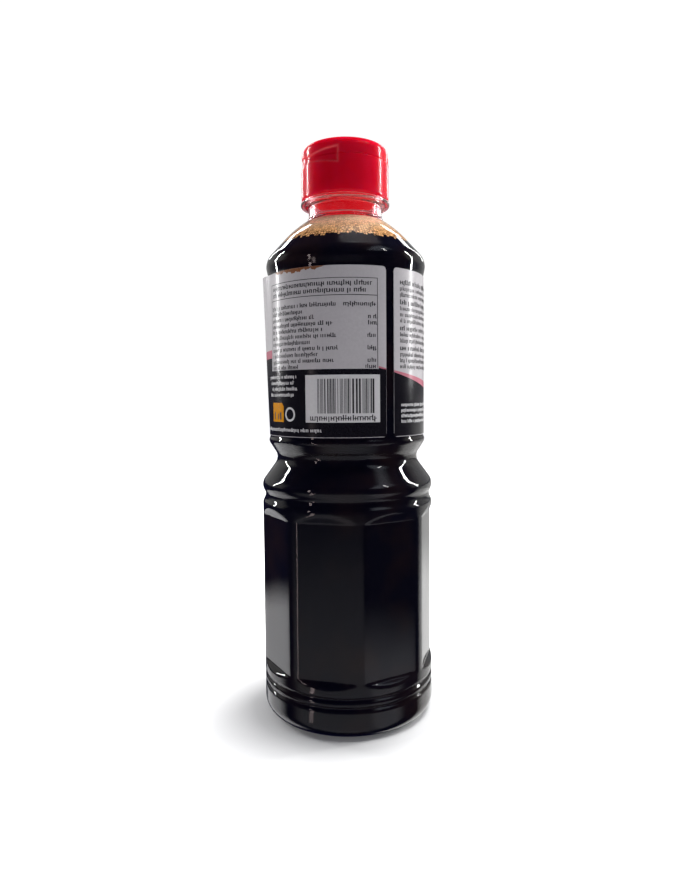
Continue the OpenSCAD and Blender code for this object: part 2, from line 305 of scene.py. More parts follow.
class Nodes:
    """A material's node tree, written as calls."""

    def __init__(self, name: str) -> None:
        """Starts an empty material with a Principled shader that gives off no light."""
        self.material = bpy.data.materials.new(name)
        self.material.use_nodes = True
        self.tree = self.material.node_tree
        self.tree.nodes.clear()
        self.shader = self.add("ShaderNodeBsdfPrincipled")
        self.put(self.shader, "Emission Color", (0.0, 0.0, 0.0, 1.0))
        self.output = self.add("ShaderNodeOutputMaterial")
        self.link(self.shader.outputs[0], self.output.inputs["Surface"])

    def add(self, kind: str, **options: object) -> Node:
        """A new node of a kind.

        Args:
            kind: Blender's name of it.
            options: its properties.
        Returns:
            The node.
        """
        node = self.tree.nodes.new(kind)
        for key, value in options.items():
            setattr(node, key, value)
        return node

    def link(self, source: Socket, target: Socket) -> None:
        """Joins two sockets."""
        self.tree.links.new(source, target)

    def put(self, node: Node, socket: str | int, value: object) -> None:
        """Sets a socket to a value, or links it when the value is a socket.

        Args:
            node: the socket's node.
            socket: its name or number.
            value: a number, a vector, a colour or another node's socket.
        """
        if isinstance(value, Socket):
            self.link(value, node.inputs[socket])
        else:
            node.inputs[socket].default_value = value

    def place(self, stretch: tuple[float, float, float] = (1, 1, 1)) -> Socket:
        """Object coordinates in metres.

        Args:
            stretch: factors along the three axes.
        Returns:
            The stretched coordinates.
        """
        mapping = self.add("ShaderNodeMapping")
        self.put(mapping, "Scale", stretch)
        self.link(self.add("ShaderNodeTexCoord").outputs["Object"], mapping.inputs["Vector"])
        return mapping.outputs[0]

    def noise(self, scale: float, detail: float = 2.0, where: Socket | None = None) -> Socket:
        """Noise from 0 to 1.

        Args:
            scale: its waves to the metre.
            detail: how many finer waves lie on them.
            where: the coordinates that it follows, or None for plain ones.
        Returns:
            Its value.
        """
        node = self.add("ShaderNodeTexNoise")
        self.put(node, "Vector", where or self.place())
        self.put(node, "Scale", scale)
        self.put(node, "Detail", detail)
        return node.outputs["Fac"]

    def cells(self, scale: float) -> Socket:
        """Distance to the nearest of scattered points.

        Args:
            scale: how many points there are to the metre.
        Returns:
            Its value.
        """
        node = self.add("ShaderNodeTexVoronoi")
        self.put(node, "Vector", self.place())
        self.put(node, "Scale", scale)
        return node.outputs["Distance"]

    def value(self, name: str) -> Socket:
        """A per-point value of the mesh."""
        return self.add("ShaderNodeAttribute", attribute_name=name).outputs["Fac"]

    def span(
        self, source: Socket, low: float, high: float, to_low: float = 0.0, to_high: float = 1.0
    ) -> Socket:
        """A value moved from one range to another.

        Args:
            source: the value.
            low, high: its range.
            to_low, to_high: the range that it is moved to.
        Returns:
            The moved value, held at the ends.
        """
        node = self.add("ShaderNodeMapRange")
        for socket, number in enumerate((source, low, high, to_low, to_high)):
            self.put(node, socket, number)
        return node.outputs[0]

    def mix(self, share: Socket, a: Color | Socket, b: Color | Socket) -> Socket:
        """Two colours mixed.

        Args:
            share: how much of the second there is.
            a, b: the colours.
        Returns:
            The mixed colour.
        """
        node = self.add("ShaderNodeMix", data_type="RGBA")
        self.put(node, 0, share)
        for socket, color in ((6, a), (7, b)):
            self.put(node, socket, (*color, 1) if isinstance(color, tuple) else color)
        return node.outputs[2]

    def bump(self, height: Socket, depth: float) -> None:
        """Gives the shader a relief.

        Args:
            height: the relief from 0 to 1.
            depth: its depth in millimetres.
        """
        node = self.add("ShaderNodeBump")
        self.put(node, "Strength", 1.0)
        self.put(node, "Distance", depth * MM)
        self.link(height, node.inputs["Height"])
        self.link(node.outputs[0], self.shader.inputs["Normal"])

    def let_light_through(self, tint: Color) -> None:
        """Lets light reach what lies behind a thin clear wall: shadow and scattered rays pass straight on.

        Args:
            tint: the colour that they take.
        """
        path, clear = self.add("ShaderNodeLightPath"), self.add("ShaderNodeBsdfTransparent")
        pick = self.add("ShaderNodeMixShader")
        either = self.add("ShaderNodeMath", operation="MAXIMUM")
        self.link(path.outputs["Is Shadow Ray"], either.inputs[0])
        self.link(path.outputs["Is Diffuse Ray"], either.inputs[1])
        self.put(clear, "Color", (*tint, 1))
        self.link(either.outputs[0], pick.inputs[0])
        self.link(self.shader.outputs[0], pick.inputs[1])
        self.link(clear.outputs[0], pick.inputs[2])
        self.link(pick.outputs[0], self.output.inputs["Surface"])

    def shade(self, **sockets: object) -> Material:
        """Sets the shader's sockets.

        Args:
            sockets: values or sockets by name, with _ for a space; a colour is three numbers.
        Returns:
            The finished material.
        """
        for key, value in sockets.items():
            color = isinstance(value, tuple) and "Color" in key
            self.put(self.shader, key.replace("_", " "), (*value, 1) if color else value)
        return self.material


@dataclass(frozen=True)
class ClearPlastic:
    """Clear blown plastic: glassy, faintly wavy, misted by the froth, with a painted red reflection of the
    cap at the neck.
    """

    tint: Color = (0.965, 0.975, 0.97)
    # painted reflection: the red cap's colour painted into the wall over the neck
    painted_cap_reflection: Color = (1.0, 0.54, 0.58)
    index: float = 1.57
    roughness: float = 0.04
    misted: float = 0.08
    clear_share: float = 0.97
    wave_scale: float = 70.0
    wave_stretch: tuple[float, float, float] = (1, 1, 0.45)
    wave_depth: float = 0.05

    def make(self) -> Material:
        """The finish as a material."""
        nodes = Nodes("clear_plastic")
        nodes.bump(nodes.noise(self.wave_scale, 1.0, nodes.place(self.wave_stretch)), self.wave_depth)
        # painted reflection: over the neck the wall turns pink and lets a little less through, standing in
        # for the red cap seen in it
        neck = nodes.value("neck")
        nodes.let_light_through(self.tint)
        return nodes.shade(
            Base_Color=nodes.mix(neck, self.tint, self.painted_cap_reflection),
            IOR=self.index,
            Transmission_Weight=nodes.span(neck, 0.0, 1.0, 1.0, self.clear_share),
            Roughness=nodes.span(nodes.value("mist"), 0.0, 1.0, self.roughness, self.misted),
        )


@dataclass(frozen=True)
class DarkSauce:
    """Sauce behind the wall: almost black, brown only where it thins, with hardly a shine of its own."""

    deep: Color = (0.0024, 0.0022, 0.0045)
    thin: Color = (0.010, 0.005, 0.004)
    index: float = 1.35
    roughness: float = 0.5
    shine: float = 0.02

    def make(self) -> Material:
        """The finish as a material."""
        nodes = Nodes("dark_sauce")
        return nodes.shade(
            Base_Color=nodes.mix(nodes.span(nodes.noise(45.0), 0.45, 0.75), self.deep, self.thin),
            Roughness=self.roughness,
            Specular_IOR_Level=self.shine,
            IOR=self.index,
        )


@dataclass(frozen=True)
class FrothFoam:
    """Froth: pale fine grain at its top, amber bubbles with dark rims at its foot."""

    rim: Color = (0.10, 0.034, 0.008)
    amber: Color = (0.96, 0.50, 0.20)
    pale: Color = (1.0, 0.66, 0.42)
    streak: Color = (0.50, 0.24, 0.10)
    dark_share: float = 0.8
    streak_share: float = 0.2
    grain_scale: float = 1300.0
    grain_depth: float = 0.06

    def make(self) -> Material:
        """The finish as a material."""
        nodes = Nodes("froth_foam")
        height = nodes.value("height")
        bead = nodes.mix(height, self.amber, self.pale)
        rim = nodes.mix(height, self.rim, tuple(0.5 * c for c in self.pale))
        tone = nodes.span(nodes.value("tone"), 0.0, 1.0, 0.0, self.dark_share)
        bubble = nodes.mix(tone, bead, rim)
        color = nodes.mix(nodes.span(nodes.value("dome"), 0.0, 0.55), rim, bubble)
        grain = nodes.span(nodes.cells(self.grain_scale), 0.1, 0.6)
        drawn_down = nodes.noise(260.0, 3.0, nodes.place((1, 1, 0.12)))
        streak = nodes.span(drawn_down, 0.55, 0.8, 0.0, self.streak_share)
        color = nodes.mix(streak, color, self.streak)
        nodes.bump(grain, self.grain_depth)
        return nodes.shade(Base_Color=color, Roughness=0.45, Specular_IOR_Level=0.1)


@dataclass(frozen=True)
class Film:
    """Satin label film or the ink on it: one colour, faintly mottled, with a soft gloss."""

    name: str
    color: Color
    roughness: float = 0.2
    mottle: float = 0.06
    index: float = 1.48
    shine: float = 0.35
    crease_depth: float = 0.012

    def make(self) -> Material:
        """The finish as a material."""
        nodes = Nodes(self.name)
        dark = tuple(c * (1 - self.mottle) for c in self.color)
        color = nodes.mix(nodes.span(nodes.noise(900.0, 3.0), 0.3, 0.7), dark, self.color)
        nodes.bump(nodes.noise(160.0, 2.0), self.crease_depth)
        rough = nodes.span(nodes.noise(120.0), 0.3, 0.7, self.roughness * 0.9, self.roughness * 1.1)
        return nodes.shade(Base_Color=color, Roughness=rough, IOR=self.index, Specular_IOR_Level=self.shine)


@dataclass(frozen=True)
class RedPlastic:
    """Glossy moulded red plastic, with a painted highlight: paler pink along the hinge pocket's edges.

    Some light travels through it, and its bore gives off a little red, which stands for the light that a
    thin cap lets in.
    """

    deep: Color = (0.66, 0.003, 0.022)
    bright: Color = (0.74, 0.006, 0.034)
    # pale pink of the painted highlight along the hinge pocket's edges
    painted_edge_highlight: Color = (0.90, 0.16, 0.18)
    unlit: Color = (0.0, 0.0, 0.0)
    bore_glow: Color = (0.13, 0.0, 0.004)
    painted_highlight_share: float = 0.45
    grain_depth: float = 0.012
    index: float = 1.5
    shine: float = 0.3
    inner_share: float = 0.8
    inner_reach: Color = (1.0, 0.05, 0.05)
    inner_depth: float = 6.0

    def make(self) -> Material:
        """The finish as a material."""
        nodes = Nodes("red_plastic")
        color = nodes.mix(nodes.span(nodes.noise(60.0, 3.0), 0.35, 0.65), self.deep, self.bright)
        # painted highlight: the stretch value marks a band along the hinge pocket's edges, mixed towards pale
        # pink
        stretch = nodes.span(nodes.value("stretch"), 0.0, 1.0, 0.0, self.painted_highlight_share)
        color = nodes.mix(stretch, color, self.painted_edge_highlight)
        nodes.bump(nodes.noise(420.0, 4.0), self.grain_depth)
        return nodes.shade(
            Base_Color=color,
            Roughness=nodes.span(nodes.noise(500.0, 4.0), 0.35, 0.75, 0.13, 0.24),
            IOR=self.index,
            Specular_IOR_Level=self.shine,
            Emission_Color=nodes.mix(nodes.value("bore"), self.unlit, self.bore_glow),
            Emission_Strength=1.0,
            Subsurface_Weight=self.inner_share,
            Subsurface_Radius=self.inner_reach,
            Subsurface_Scale=self.inner_depth * MM,
        )


# ---------------------------------------------------------------- the blown bottle and what fills it


@dataclass
class BottleForm:
    """The bottle's outline and panels. Heights come from the solid model where its boxes hold them."""

    body_r: float = field(default_factory=lambda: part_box("bottle")[1].x / MM)
    rim_z: float = field(default_factory=lambda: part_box("bottle")[1].z / MM)
    label_low_z: float = field(default_factory=lambda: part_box("label")[0].z / MM)
    label_top_z: float = field(default_factory=lambda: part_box("label")[1].z / MM)
    froth_low_z: float = field(default_factory=lambda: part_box("froth")[0].z / MM)
    froth_top_z: float = field(default_factory=lambda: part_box("froth")[1].z / MM)
    wall: float = 0.6
    foot_round: float = 7.0
    foot_ring_w: float = 2.0
    base_round: float = 3.0
    push_up: float = 6.0
    groove_zs: tuple[float, float] = (14.3, 18.3)
    groove_w: float = 2.6
    groove_d: float = 1.05
    panel_count: int = 8
    panel_d: float = 2.2
    panel_turn: float = -15.0
    panel_low_z: float = 25.0
    panel_top_z: float = 94.0
    panel_low_slope: float = 2.0
    panel_top_slope: float = 3.6
    grip_z: float = 98.9
    bead_round: float = 2.6
    collar_groove_z: float = 103.4
    collar_groove_d: float = 1.3
    collar_z: float = 107.3
    collar_round: float = 5.0
    collar_slope: float = 36.0
    waist_z: float = 120.4
    waist_r: float = 33.0
    waist_low_round: float = 6.0
    waist_top_round: float = 4.2
    waist_slope: float = 42.0
    bumper_z: float = 128.1
    bumper_r: float = 36.7
    bumper_round: float = 2.2
    label_wall_r: float = 36.15
    rib_first: float = 10.5
    rib_step: float = 15.8
    rib_w: float = 5.2
    rib_d: float = 0.5
    shoulder_z: float = 207.4
    shoulder_r: float = 37.0
    shoulder_round: float = 7.8
    shoulder_slope: float = 39.0
    dome_r: float = 54.0
    dome_slope: float = 58.0
    root_z: float = 228.8
    neck_r: float = 17.0
    bore_r: float = 15.4
    step_r: float = 17.6
    step_h: float = 1.5
    ledge_z: float = 235.9
    ledge_t: float = 1.4
    ledge_r: float = 20.6
    ledge_edge: float = 0.3
    under_ledge_r: float = 18.5
    under_ledge_t: float = 0.6
    finish_r: float = 17.3
    columns: int = 240
    body_blur: float = 0.35
    fine_blur: float = 0.12
    fine_gap: float = 0.05
    wave_h: float = 0.018

    def groove(self, z: float) -> Array:
        """A foot groove: one wave of a cosine cut into the wall.

        Args:
            z: its middle height.
        Returns:
            Its points, from its lower to its upper edge.
        """
        t = np.linspace(-1, 1, 25)
        r = self.body_r - self.groove_d * (1 + np.cos(np.pi * t)) / 2
        return np.column_stack([r, z + t * self.groove_w / 2])

    def body_line(self) -> Array:
        """The outside from the middle of the base to the neck's root, as arcs joined by short straights.

        Returns:
            Its points, (n, 2), with every corner softened.
        """
        flat_r = self.body_r - self.foot_round - self.foot_ring_w
        rise = self.base_round - self.push_up
        dish_r = (flat_r**2 + rise**2 - self.base_round**2) / (2 * self.push_up)
        dish_z = self.push_up - dish_r
        turn = math.degrees(math.atan2(flat_r, self.base_round - dish_z))
        slope = math.radians(self.dome_slope)
        dome = (self.step_r - self.dome_r * math.cos(slope), self.root_z - self.dome_r * math.sin(slope))
        collar_r = self.body_r - self.collar_groove_d
        low_r, top_r = self.waist_r + self.waist_low_round, self.waist_r + self.waist_top_round
        bumper_r = self.bumper_r - self.bumper_round
        shoulder_r = self.shoulder_r - self.shoulder_round
        wall_low_z, wall_top_z = self.label_low_z - 0.3, self.label_top_z + 0.5
        parts = [
            arc(0, dish_z, dish_r, 90, 90 - turn),
            arc(flat_r, self.base_round, self.base_round, -90 - turn, -90),
            arc(self.body_r - self.foot_round, self.foot_round, self.foot_round, -90, 0),
            *[self.groove(z) for z in self.groove_zs],
            arc(self.body_r - self.bead_round, self.grip_z, self.bead_round, 0, 45),
            np.array([[collar_r, self.collar_groove_z - 0.6], [collar_r, self.collar_groove_z + 0.3]]),
            arc(self.body_r - self.collar_round, self.collar_z, self.collar_round, -35, self.collar_slope),
            arc(low_r, self.waist_z, self.waist_low_round, 180 + self.collar_slope, 180),
            arc(top_r, self.waist_z, self.waist_top_round, 180, 180 - self.waist_slope),
            arc(bumper_r, self.bumper_z, self.bumper_round, -self.waist_slope, 40),
            np.array([[self.label_wall_r, wall_low_z], [self.label_wall_r, wall_top_z]]),
            arc(shoulder_r, self.shoulder_z, self.shoulder_round, 0, self.shoulder_slope),
            arc(*dome, self.dome_r, self.shoulder_slope + 1, self.dome_slope),
        ]
        return soften(np.concatenate(parts), self.body_blur)

    def neck_line(self) -> Array:
        """The outside of the neck: step, neck, ledge with its fillet ring, and the part that the cap hides.

        Returns:
            Its points, (n, 2), from the root to the rim.
        """
        top = self.ledge_z + self.ledge_t
        corners = [
            (self.step_r, self.root_z + self.step_h * 0.3),
            (self.step_r, self.root_z + self.step_h * 0.7),
            (self.neck_r, self.root_z + self.step_h),
            (self.neck_r, self.ledge_z - self.under_ledge_t * 2),
            (self.under_ledge_r, self.ledge_z - self.under_ledge_t),
            (self.under_ledge_r, self.ledge_z),
            (self.ledge_r - self.ledge_edge, self.ledge_z),
            (self.ledge_r, self.ledge_z + self.ledge_edge),
            (self.ledge_r, top - self.ledge_edge),
            (self.ledge_r - self.ledge_edge, top),
            (self.finish_r, top),
            (self.finish_r, self.rim_z),
        ]
        return soften(np.array(corners), self.fine_blur, self.fine_gap)

    def row_gap(self, line: Array) -> Array:
        """The wanted distance between rows: small on beads and grooves, large on plain wall and in the dish.

        Args:
            line: the body's points, (n, 2).
        Returns:
            The distance at each of them.
        """
        r, z = line.T
        plain = smooth_step(26.5, 30, z) * (1 - smooth_step(88, 91.5, z))
        label = smooth_step(131, 134, z) * (1 - smooth_step(199, 202, z))
        dish = 1 - smooth_step(24, 29, r)
        return 0.5 + 2.8 * plain + 0.7 * label + 2.2 * dish + 0.25 * smooth_step(203, 206, z)

    def theta(self) -> Array:
        """Angles of the columns: even over each panel, but much closer along its two upright edges.

        Returns:
            One angle for each column, running once round the bottle.
        """
        half = 180 / self.panel_count
        fine = np.linspace(-half, half, 2001)
        edge = math.degrees(math.acos((self.body_r - self.panel_d) / self.body_r))
        load = np.cumsum(1 + 2.5 * np.exp(-(((np.abs(fine) - edge) / 1.5) ** 2)))
        per_panel = self.columns // self.panel_count
        part = np.interp(np.arange(per_panel) / per_panel, (load - load[0]) / (load[-1] - load[0]), fine)
        return (self.panel_turn + 2 * half * np.arange(self.panel_count)[:, None] + part).ravel()

    def radius(self, line: Array, theta: Array, depth: float = 0.0) -> Array:
        """Radius at each row and column: the lesser of the turned wall and the flat panels.

        A panel's face is a plane, its distance from the axis over the cosine of the angle from its middle;
        above and below the panel it leans out. Rows of cosine ribs cross the label wall.

        Args:
            line: the rows' radius and height, already moved in by depth.
            theta: the columns' angles.
            depth: how far the surface lies inside the wall's outside.
        Returns:
            A (rows, cols) array of radii.
        """
        r, z = line[:, :1], line[:, 1:]
        half = 180 / self.panel_count
        turn = np.radians((theta - self.panel_turn + half) % (2 * half) - half)[None, :]
        out = np.maximum(0, (z - self.panel_top_z) / self.panel_top_slope)
        out = out + np.maximum(0, (self.panel_low_z - z) / self.panel_low_slope)
        flat = (self.body_r - self.panel_d * (1 - out) - depth) / np.cos(turn)
        phase = (z - (self.label_low_z + self.rib_first)) / self.rib_step
        rib = np.abs(phase - np.round(phase)) * self.rib_step / (self.rib_w / 2)
        ribbed = smooth_step(134, 137, z) * (1 - smooth_step(196, 199, z))
        rib = np.where(rib < 1, (1 + np.cos(np.pi * rib)) / 2, 0) * ribbed
        return soft_least(r - self.rib_d * rib, flat, self.body_blur) + self.wave(theta, z)

    def wave(self, theta: Array, z: Array) -> Array:
        """Faint unevenness of blown plastic: three slow sine waves that run round and up the wall.

        Args:
            theta: the columns' angles.
            z: the rows' heights, (rows, 1).
        Returns:
            What it adds to the radius at each row and column; nothing at the foot and at the neck.
        """
        turn = np.radians(theta)[None, :]
        wave = np.sin(5 * turn + z / 13) + 0.7 * np.sin(9 * turn - z / 8 + 1.3)
        wave = wave + 0.5 * np.sin(2 * turn + z / 5.5 + 0.4)
        return self.wave_h * wave * smooth_step(6, 12, z) * (1 - smooth_step(214, 224, z))


@dataclass
class Bottle:
    """The clear wall: outside and inside as one closed shell."""

    form: BottleForm
    hidden_depth: float = 0.95
    thick_zs: tuple[float, float] = (208.0, 214.0)
    inner_every: int = 3
    neck_gap: float = 0.32
    capped_gap: float = 2.5
    bore_gap: float = 1.6
    rim_round: float = 0.25
    mist_edge: float = 1.0

    def outside(self, body: Array) -> Array:
        """The outside's rows, from the base's middle to the rim.

        Args:
            body: the rows up to the neck's root.
        Returns:
            These and the neck's, few of them where the cap hides it.
        """
        form = self.form
        neck = form.neck_line()
        capped = neck[:, 1] > form.ledge_z + form.ledge_t + 0.3
        neck = spread(neck, np.where(capped, self.capped_gap, self.neck_gap))
        return np.concatenate([body, neck])

    def inside(self, body: Array) -> Array:
        """The inside's rows, from the rim back down to the base's middle.

        Args:
            body: the outside's rows up to the neck's root.
        Returns:
            The bore's rows and the body's, a wall in, and a little deeper where the sauce hides them.
        """
        form = self.form
        thin = smooth_step(*self.thick_zs, body[:, 1])
        depth = form.wall + (self.hidden_depth - form.wall) * (1 - thin)
        within = inset(body, 1.0) - body
        inner = (body + within * depth[:, None])[:: self.inner_every]
        inner[0, 0] = POLE_R
        in_neck = inner[:, 1] > form.shoulder_z
        inner = inner[inner[:, 0] > form.bore_r * in_neck]
        bore = even(np.array([[form.bore_r, form.rim_z], [form.bore_r, form.root_z + 0.4]]), 0.2)
        bore = spread(bore, np.full(len(bore), self.bore_gap))
        rim = [[form.bore_r + self.rim_round, form.rim_z], [form.bore_r, form.rim_z - self.rim_round]]
        return np.concatenate([rim, bore[1:], inner[::-1]])

    def build(self) -> Piece:
        """Builds and dresses the wall.

        Its rows climb the outside and come back down the inside, and each turns round the axis as the form
        says. Two values follow the height: neck, over the froth, where the wall takes a painted red
        reflection of the cap, and mist, beside it.

        Returns:
            The piece that stands for the bottle.
        """
        form = self.form
        theta = form.theta()
        body = form.body_line()
        body = spread(body, form.row_gap(body))
        outside, inside = self.outside(body), self.inside(body)
        outside[0, 0] = POLE_R
        radii = np.concatenate([form.radius(outside, theta), form.radius(inside, theta, self.hidden_depth)])
        z = np.concatenate([outside[:, 1], inside[:, 1]])[:, None]
        neck = smooth_step(form.froth_top_z - 0.5, form.froth_top_z + 1.5, z) + 0 * radii
        mist = smooth_step(form.froth_low_z - self.mist_edge, form.froth_low_z + self.mist_edge, z) - neck
        points = around(theta[None, :], radii, z)
        mesh = turned(points, outside[0, 1], inside[-1, 1], {"neck": neck, "mist": mist})
        piece = mesh.to_object("bottle_wall", ClearPlastic().make(), Slot.WALL, 60)
        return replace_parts(piece, "bottle")


@dataclass
class Sauce:
    """The sauce: it reaches a little way into the wall, so that no gap shows, and ends in the froth."""

    form: BottleForm
    depth: float = 0.45
    over: float = 1.6
    row_stretch: float = 1.15
    cover_shares: tuple[float, ...] = (1.0, 0.8, 0.5, 0.2)

    def build(self) -> Piece:
        """Builds and dresses the sauce: the wall's own rows moved in, then a flat top hidden in the froth.

        Returns:
            The piece that stands for the sauce.
        """
        form = self.form
        theta = form.theta()
        line = form.body_line()
        line = inset(spread(line, form.row_gap(line) * self.row_stretch), self.depth)
        line[0, 0] = POLE_R
        top_z = form.froth_low_z + self.over
        side = line[line[:, 1] < top_z]
        shoulder = line[-60:]
        edge_r = float(np.interp(top_z, shoulder[:, 1], shoulder[:, 0]))
        cover_r = np.array(self.cover_shares) * edge_r
        cover = np.column_stack([cover_r, np.full(len(cover_r), top_z)])
        rows = np.concatenate([side, cover])
        points = around(theta[None, :], form.radius(rows, theta, self.depth), rows[:, 1:])
        piece = turned(points, side[0, 1], top_z).to_object("sauce_body", DarkSauce().make(), Slot.SAUCE)
        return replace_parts(piece, "sauce")


@dataclass
class Froth:
    """The froth over the sauce: packed bubbles, larger and ragged at its foot and fine at its top."""

    form: BottleForm
    cells_round: int = 156
    cell_low: float = 1.3
    cell_top: float = 0.85
    columns: int = 840
    row_gap: float = 0.17
    under: float = 1.4
    depth: float = 0.38
    relief: float = 0.12
    sunk_depth: float = 0.6
    top_rings: int = 22
    top_drop: float = 0.2
    ripple_h: float = 0.25
    seed: int = 11

    def bubbles(self, across: Array, along: Array) -> tuple[Array, Array, Array]:
        """Nearest and second nearest distances to jittered cell centres, each cell one unit wide.

        Args:
            across: position round the bottle in cells; it wraps after cells_round.
            along: position up the wall in cells.
        Returns:
            The dome of each point's own bubble, 1 at its middle and 0 at its border, its centre's height, and
            a random tone of its own.
        """
        rng = np.random.default_rng(self.seed)
        rows = int(along.max()) + 4
        jitter = rng.uniform(0.12, 0.88, (rows, self.cells_round, 2))
        tones = rng.random((rows, self.cells_round)) ** 2.2
        i, j = np.floor(along).astype(int), np.floor(across).astype(int)
        near = np.full(across.shape, 9.0)
        second = near.copy()
        centre, tone = np.zeros(across.shape), np.zeros(across.shape)
        for di in (-1, 0, 1):
            for dj in (-1, 0, 1):
                row, column = np.clip(i + di, 0, rows - 1), (j + dj) % self.cells_round
                spot = jitter[row, column]
                y = row + spot[..., 0]
                d = np.hypot(along - y, across - (j + dj) - spot[..., 1])
                closer = d < near
                second = np.where(closer, near, np.minimum(second, d))
                centre = np.where(closer, y, centre)
                tone = np.where(closer, tones[row, column], tone)
                near = np.where(closer, d, near)
        return np.clip((second - near) * 1.7, 0, 1), centre, tone

    def build(self) -> Piece:
        """Builds and dresses the froth.

        Its side is the wall's own line moved in, lowered by each bubble's dome. Bubbles whose middle lies
        under a ragged line sink into the sauce, so that its foot ends in whole bubbles. The top is faintly
        rippled, and it and the foot are closed.

        Returns:
            The piece that stands for the froth.
        """
        form = self.form
        line = form.body_line()
        low, top = form.froth_low_z - self.under, form.froth_top_z
        line = line[(line[:, 1] > low) & (line[:, 1] < top + 0.3)]
        side = even(line, self.row_gap)
        theta = even_turns(self.columns)
        share = smooth_step(low, top, side[:, 1])
        cell = self.cell_low + (self.cell_top - self.cell_low) * share
        up = np.cumsum(np.gradient(lengths(side)) / cell)
        along = up[:, None] + 1 + 0 * theta[None, :]
        across = (theta * self.cells_round / 360)[None, :] + 0 * along
        dome, centre, tone = self.bubbles(across, along)
        turn = np.radians(theta)[None, :]
        ragged = 1.6 + 0.3 * np.sin(7 * turn + 1) + 0.25 * np.sin(23 * turn) + 0.35 * np.sin(53 * turn + 2)
        shown = smooth_step(0.8, 1.2, centre - ragged)
        depth = self.depth + self.relief * (1 - np.sqrt(np.clip(dome, 0, 1))) + self.sunk_depth * (1 - shown)
        normal = inset(side, 1.0) - side
        r = side[:, :1] + normal[:, :1] * depth
        z = side[:, 1:] + normal[:, 1:] * depth
        height = np.broadcast_to(smooth_step(0.25, 0.9, (side[:, 1:] - low) / (top - low)), r.shape)
        foot_r = np.array([0.25, 0.6, 0.9])[:, None] * r[:1].mean() + 0 * turn
        top_share = np.linspace(0.985, 0.02, self.top_rings)[:, None]
        top_z = z[-1].max() - self.top_drop
        ripple = self.ripple_h * np.sin(top_share * 90 + 9 * turn) * np.sin(31 * turn + top_share * 40)
        parts = [
            around(theta[None, :], foot_r, low),
            around(theta[None, :], r, z),
            around(theta[None, :], top_share * r[-1:], top_z + ripple * (top_share < 0.97)),
        ]
        foot, lid = np.zeros(foot_r.shape), np.ones((self.top_rings, self.columns))
        values = {
            "dome": np.concatenate([foot, dome, 0.5 + 0.5 * np.clip(ripple * 4, -1, 1)]),
            "height": np.concatenate([foot, height, lid]),
            "tone": np.concatenate([foot, tone, 0.4 * lid]),
        }
        mesh = turned(np.concatenate(parts), low, top_z, values)
        piece = mesh.to_object("froth_layer", FrothFoam().make(), Slot.FROTH)
        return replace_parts(piece, "froth")


# ---------------------------------------------------------------- the label


@dataclass
class LabelSheet:
    """The film wrapped round the bottle, with a loose strip that stands off at its top."""

    form: BottleForm
    outer_r: float = 36.35
    thickness: float = 0.15
    gap_turn: float = 31.0
    gap_w: float = 6.2
    corner: float = 1.7
    lift_d: float = 2.3
    lift_turn: float = -84.0
    lift_half_w: float = 19.0
    end_crowding: float = 0.0016
    columns: int = 700
    rows: int = 44
    color: Color = (0.57, 0.55, 0.56)

    def ends(self) -> tuple[float, float]:
        """The film's first and last angle, on the two sides of the gap."""
        last = self.gap_turn - self.gap_w / 2
        return last - (360 - self.gap_w), last

    def turn_of(self, length: float | Array) -> float | Array:
        """The angle of a length along the film."""
        return np.degrees(length / self.outer_r)

    def lift(self, theta: Array, z: Array) -> Array:
        """How far the film stands off: a hump over the loose strip, full at the top and none at the foot.

        Args:
            theta, z: angles and heights.
        Returns:
            The distance: the share of the height times one wave of a cosine round the strip.
        """
        share = (z - self.form.label_low_z) / (self.form.label_top_z - self.form.label_low_z)
        t = np.clip(np.abs(off_turn(theta, self.lift_turn)) / self.lift_half_w, 0, 1)
        return self.lift_d * np.clip(share, 0, 1) * (1 + np.cos(np.pi * t)) / 2

    def place(self, theta: Array, z: Array, off: float = 0.0) -> Array:
        """Metre points on the film's outside.

        Args:
            theta, z: angles and heights.
            off: how far above it they lie, in millimetres.
        Returns:
            The points.
        """
        theta, z = np.broadcast_arrays(np.asarray(theta, float), np.asarray(z, float))
        return around(theta, self.outer_r + off + self.lift(theta, z), z)

    def corner_cut(self, along: Array, span: float) -> Array:
        """How much the rounded corners take off the film's height.

        Args:
            along: distances from its first end.
            span: the film's whole length.
        Returns:
            The height of a quarter circle at each of them.
        """
        s = np.clip(np.minimum(along, span - along) / self.corner, 0, 1)
        return self.corner * (1 - np.sqrt(1 - (1 - s) ** 2)) * 0.98

    def build(self) -> Piece:
        """Builds and dresses the film, with its columns a little closer at its two ends.

        Returns:
            The piece that stands for the label.
        """
        form = self.form
        first, width = self.gap_turn + self.gap_w / 2, 360 - self.gap_w
        s = np.linspace(0, 1, self.columns)
        s = s + self.end_crowding * np.sin(2 * np.pi * s)
        theta = first + width * s
        span = math.radians(width) * self.outer_r
        cut = self.corner_cut(s * span, span)[:, None]
        share = np.linspace(0, 1, self.rows)[None, :]
        z = form.label_low_z + cut + (form.label_top_z - form.label_low_z - 2 * cut) * share
        mesh = slab(self.place(theta[:, None], z), self.place(theta[:, None], z, -self.thickness))
        piece = mesh.to_object("label_sheet", Film("label_film", self.color).make(), Slot.LABEL)
        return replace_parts(piece, "label")


